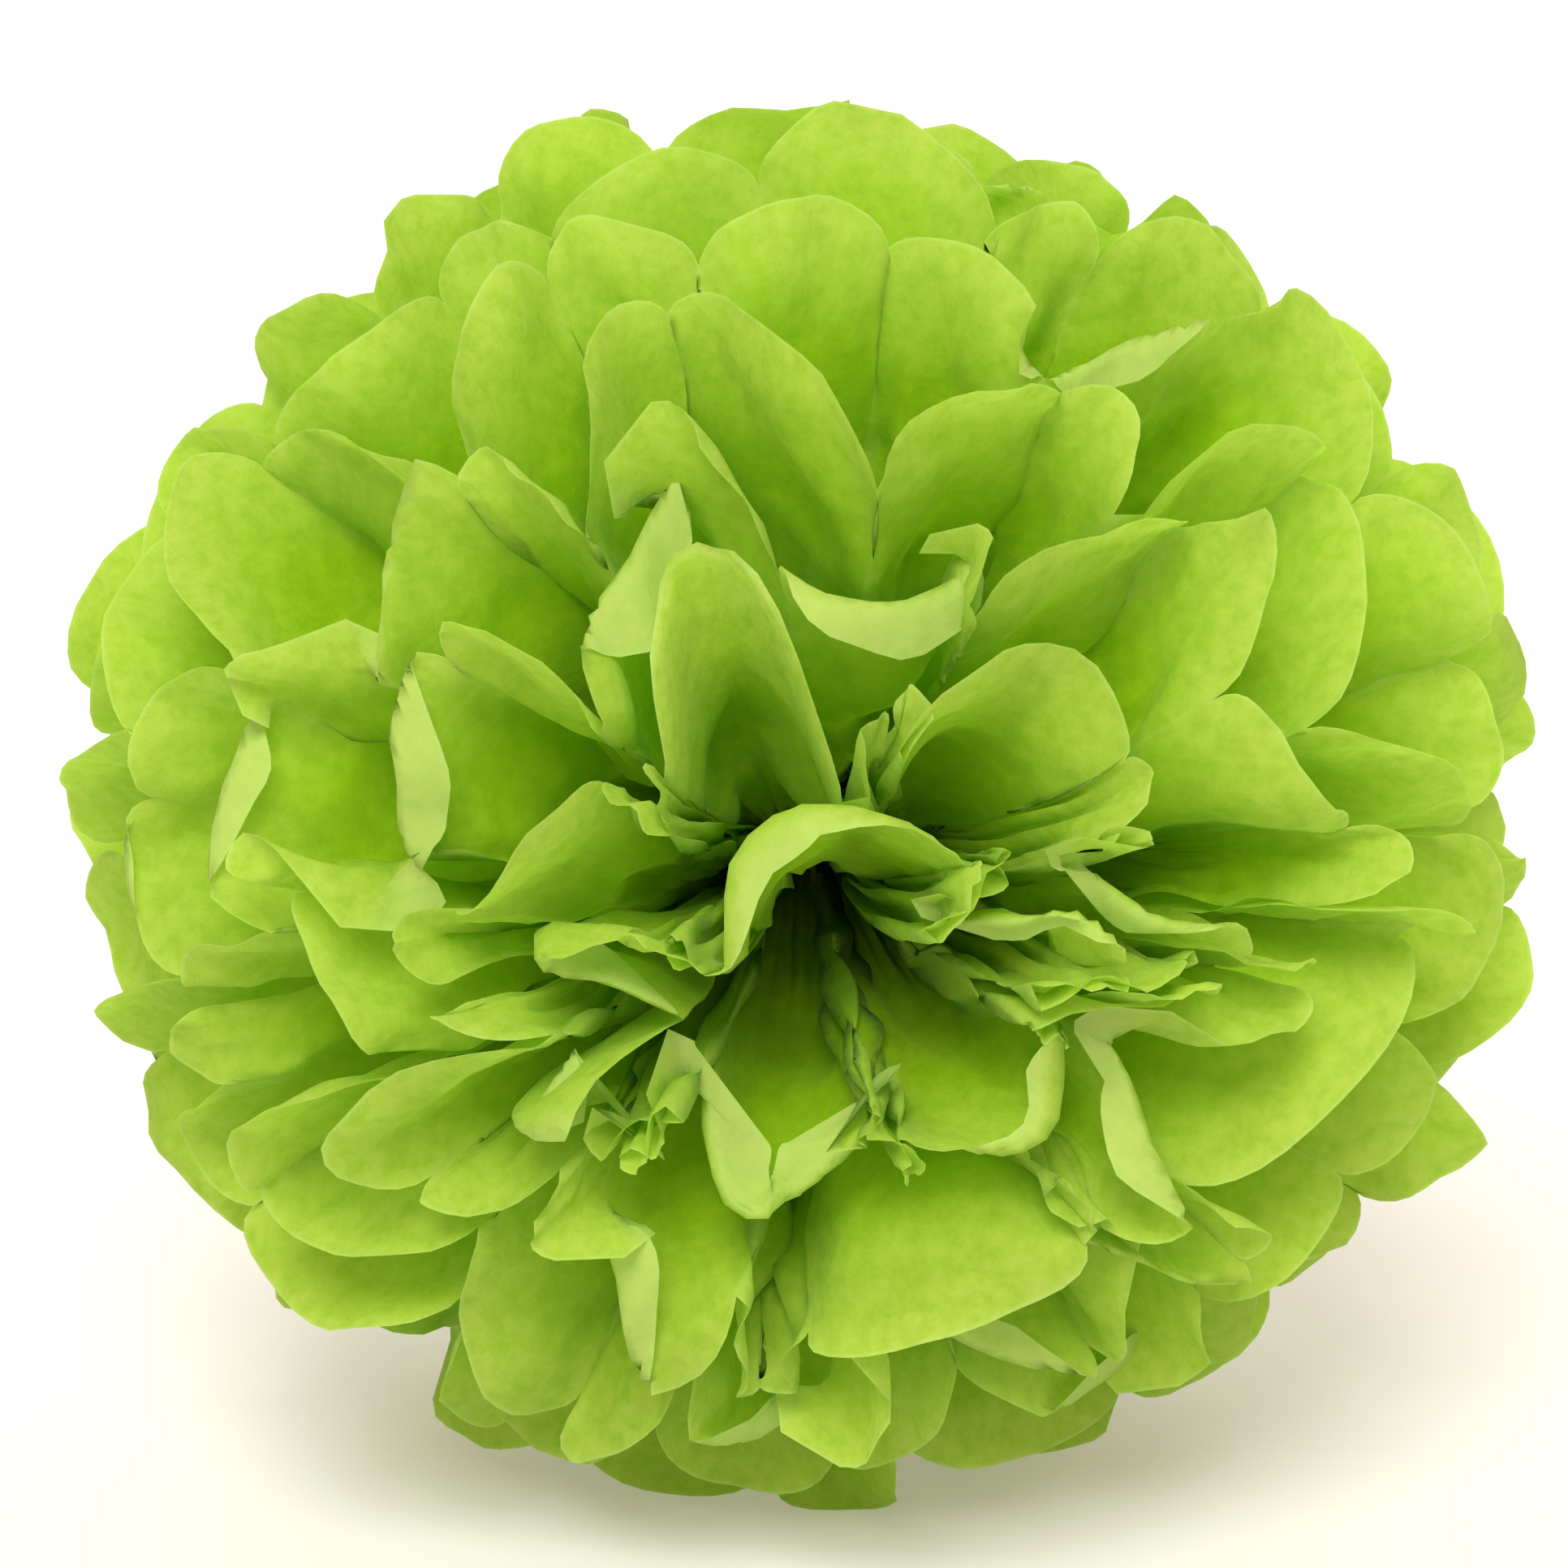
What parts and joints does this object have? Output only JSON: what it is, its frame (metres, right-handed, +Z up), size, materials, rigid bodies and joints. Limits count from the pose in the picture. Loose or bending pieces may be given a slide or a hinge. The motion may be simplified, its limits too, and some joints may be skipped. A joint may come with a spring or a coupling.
{
  "type": "tissue paper pom pom",
  "caption": "Round flower ball of pleated lime green tissue paper sheets tied at the middle with a wire, resting on its side with the flower facing the viewer.",
  "frame": {"origin": "on the surface that the ball rests on, below the middle of its box", "axes": "+Z up, the pom pom's own axis level along Y, the flower's front facing -Y, the fans' seams to -X and +X"},
  "size_m": [0.2497, 0.2452, 0.2305],
  "materials": {
    "tissue": "matt, thin and translucent",
    "wire": "bare thin wire"
  },
  "bodies": {
    "root": {"sheet_01": "tissue", "sheet_02": "tissue", "sheet_03": "tissue", "sheet_04": "tissue", "sheet_05": "tissue", "sheet_06": "tissue", "sheet_07": "tissue", "sheet_08": "tissue", "sheet_09": "tissue", "sheet_10": "tissue", "sheet_11": "tissue", "sheet_12": "tissue", "tie_wire": "wire"}
  },
  "joints": []
}
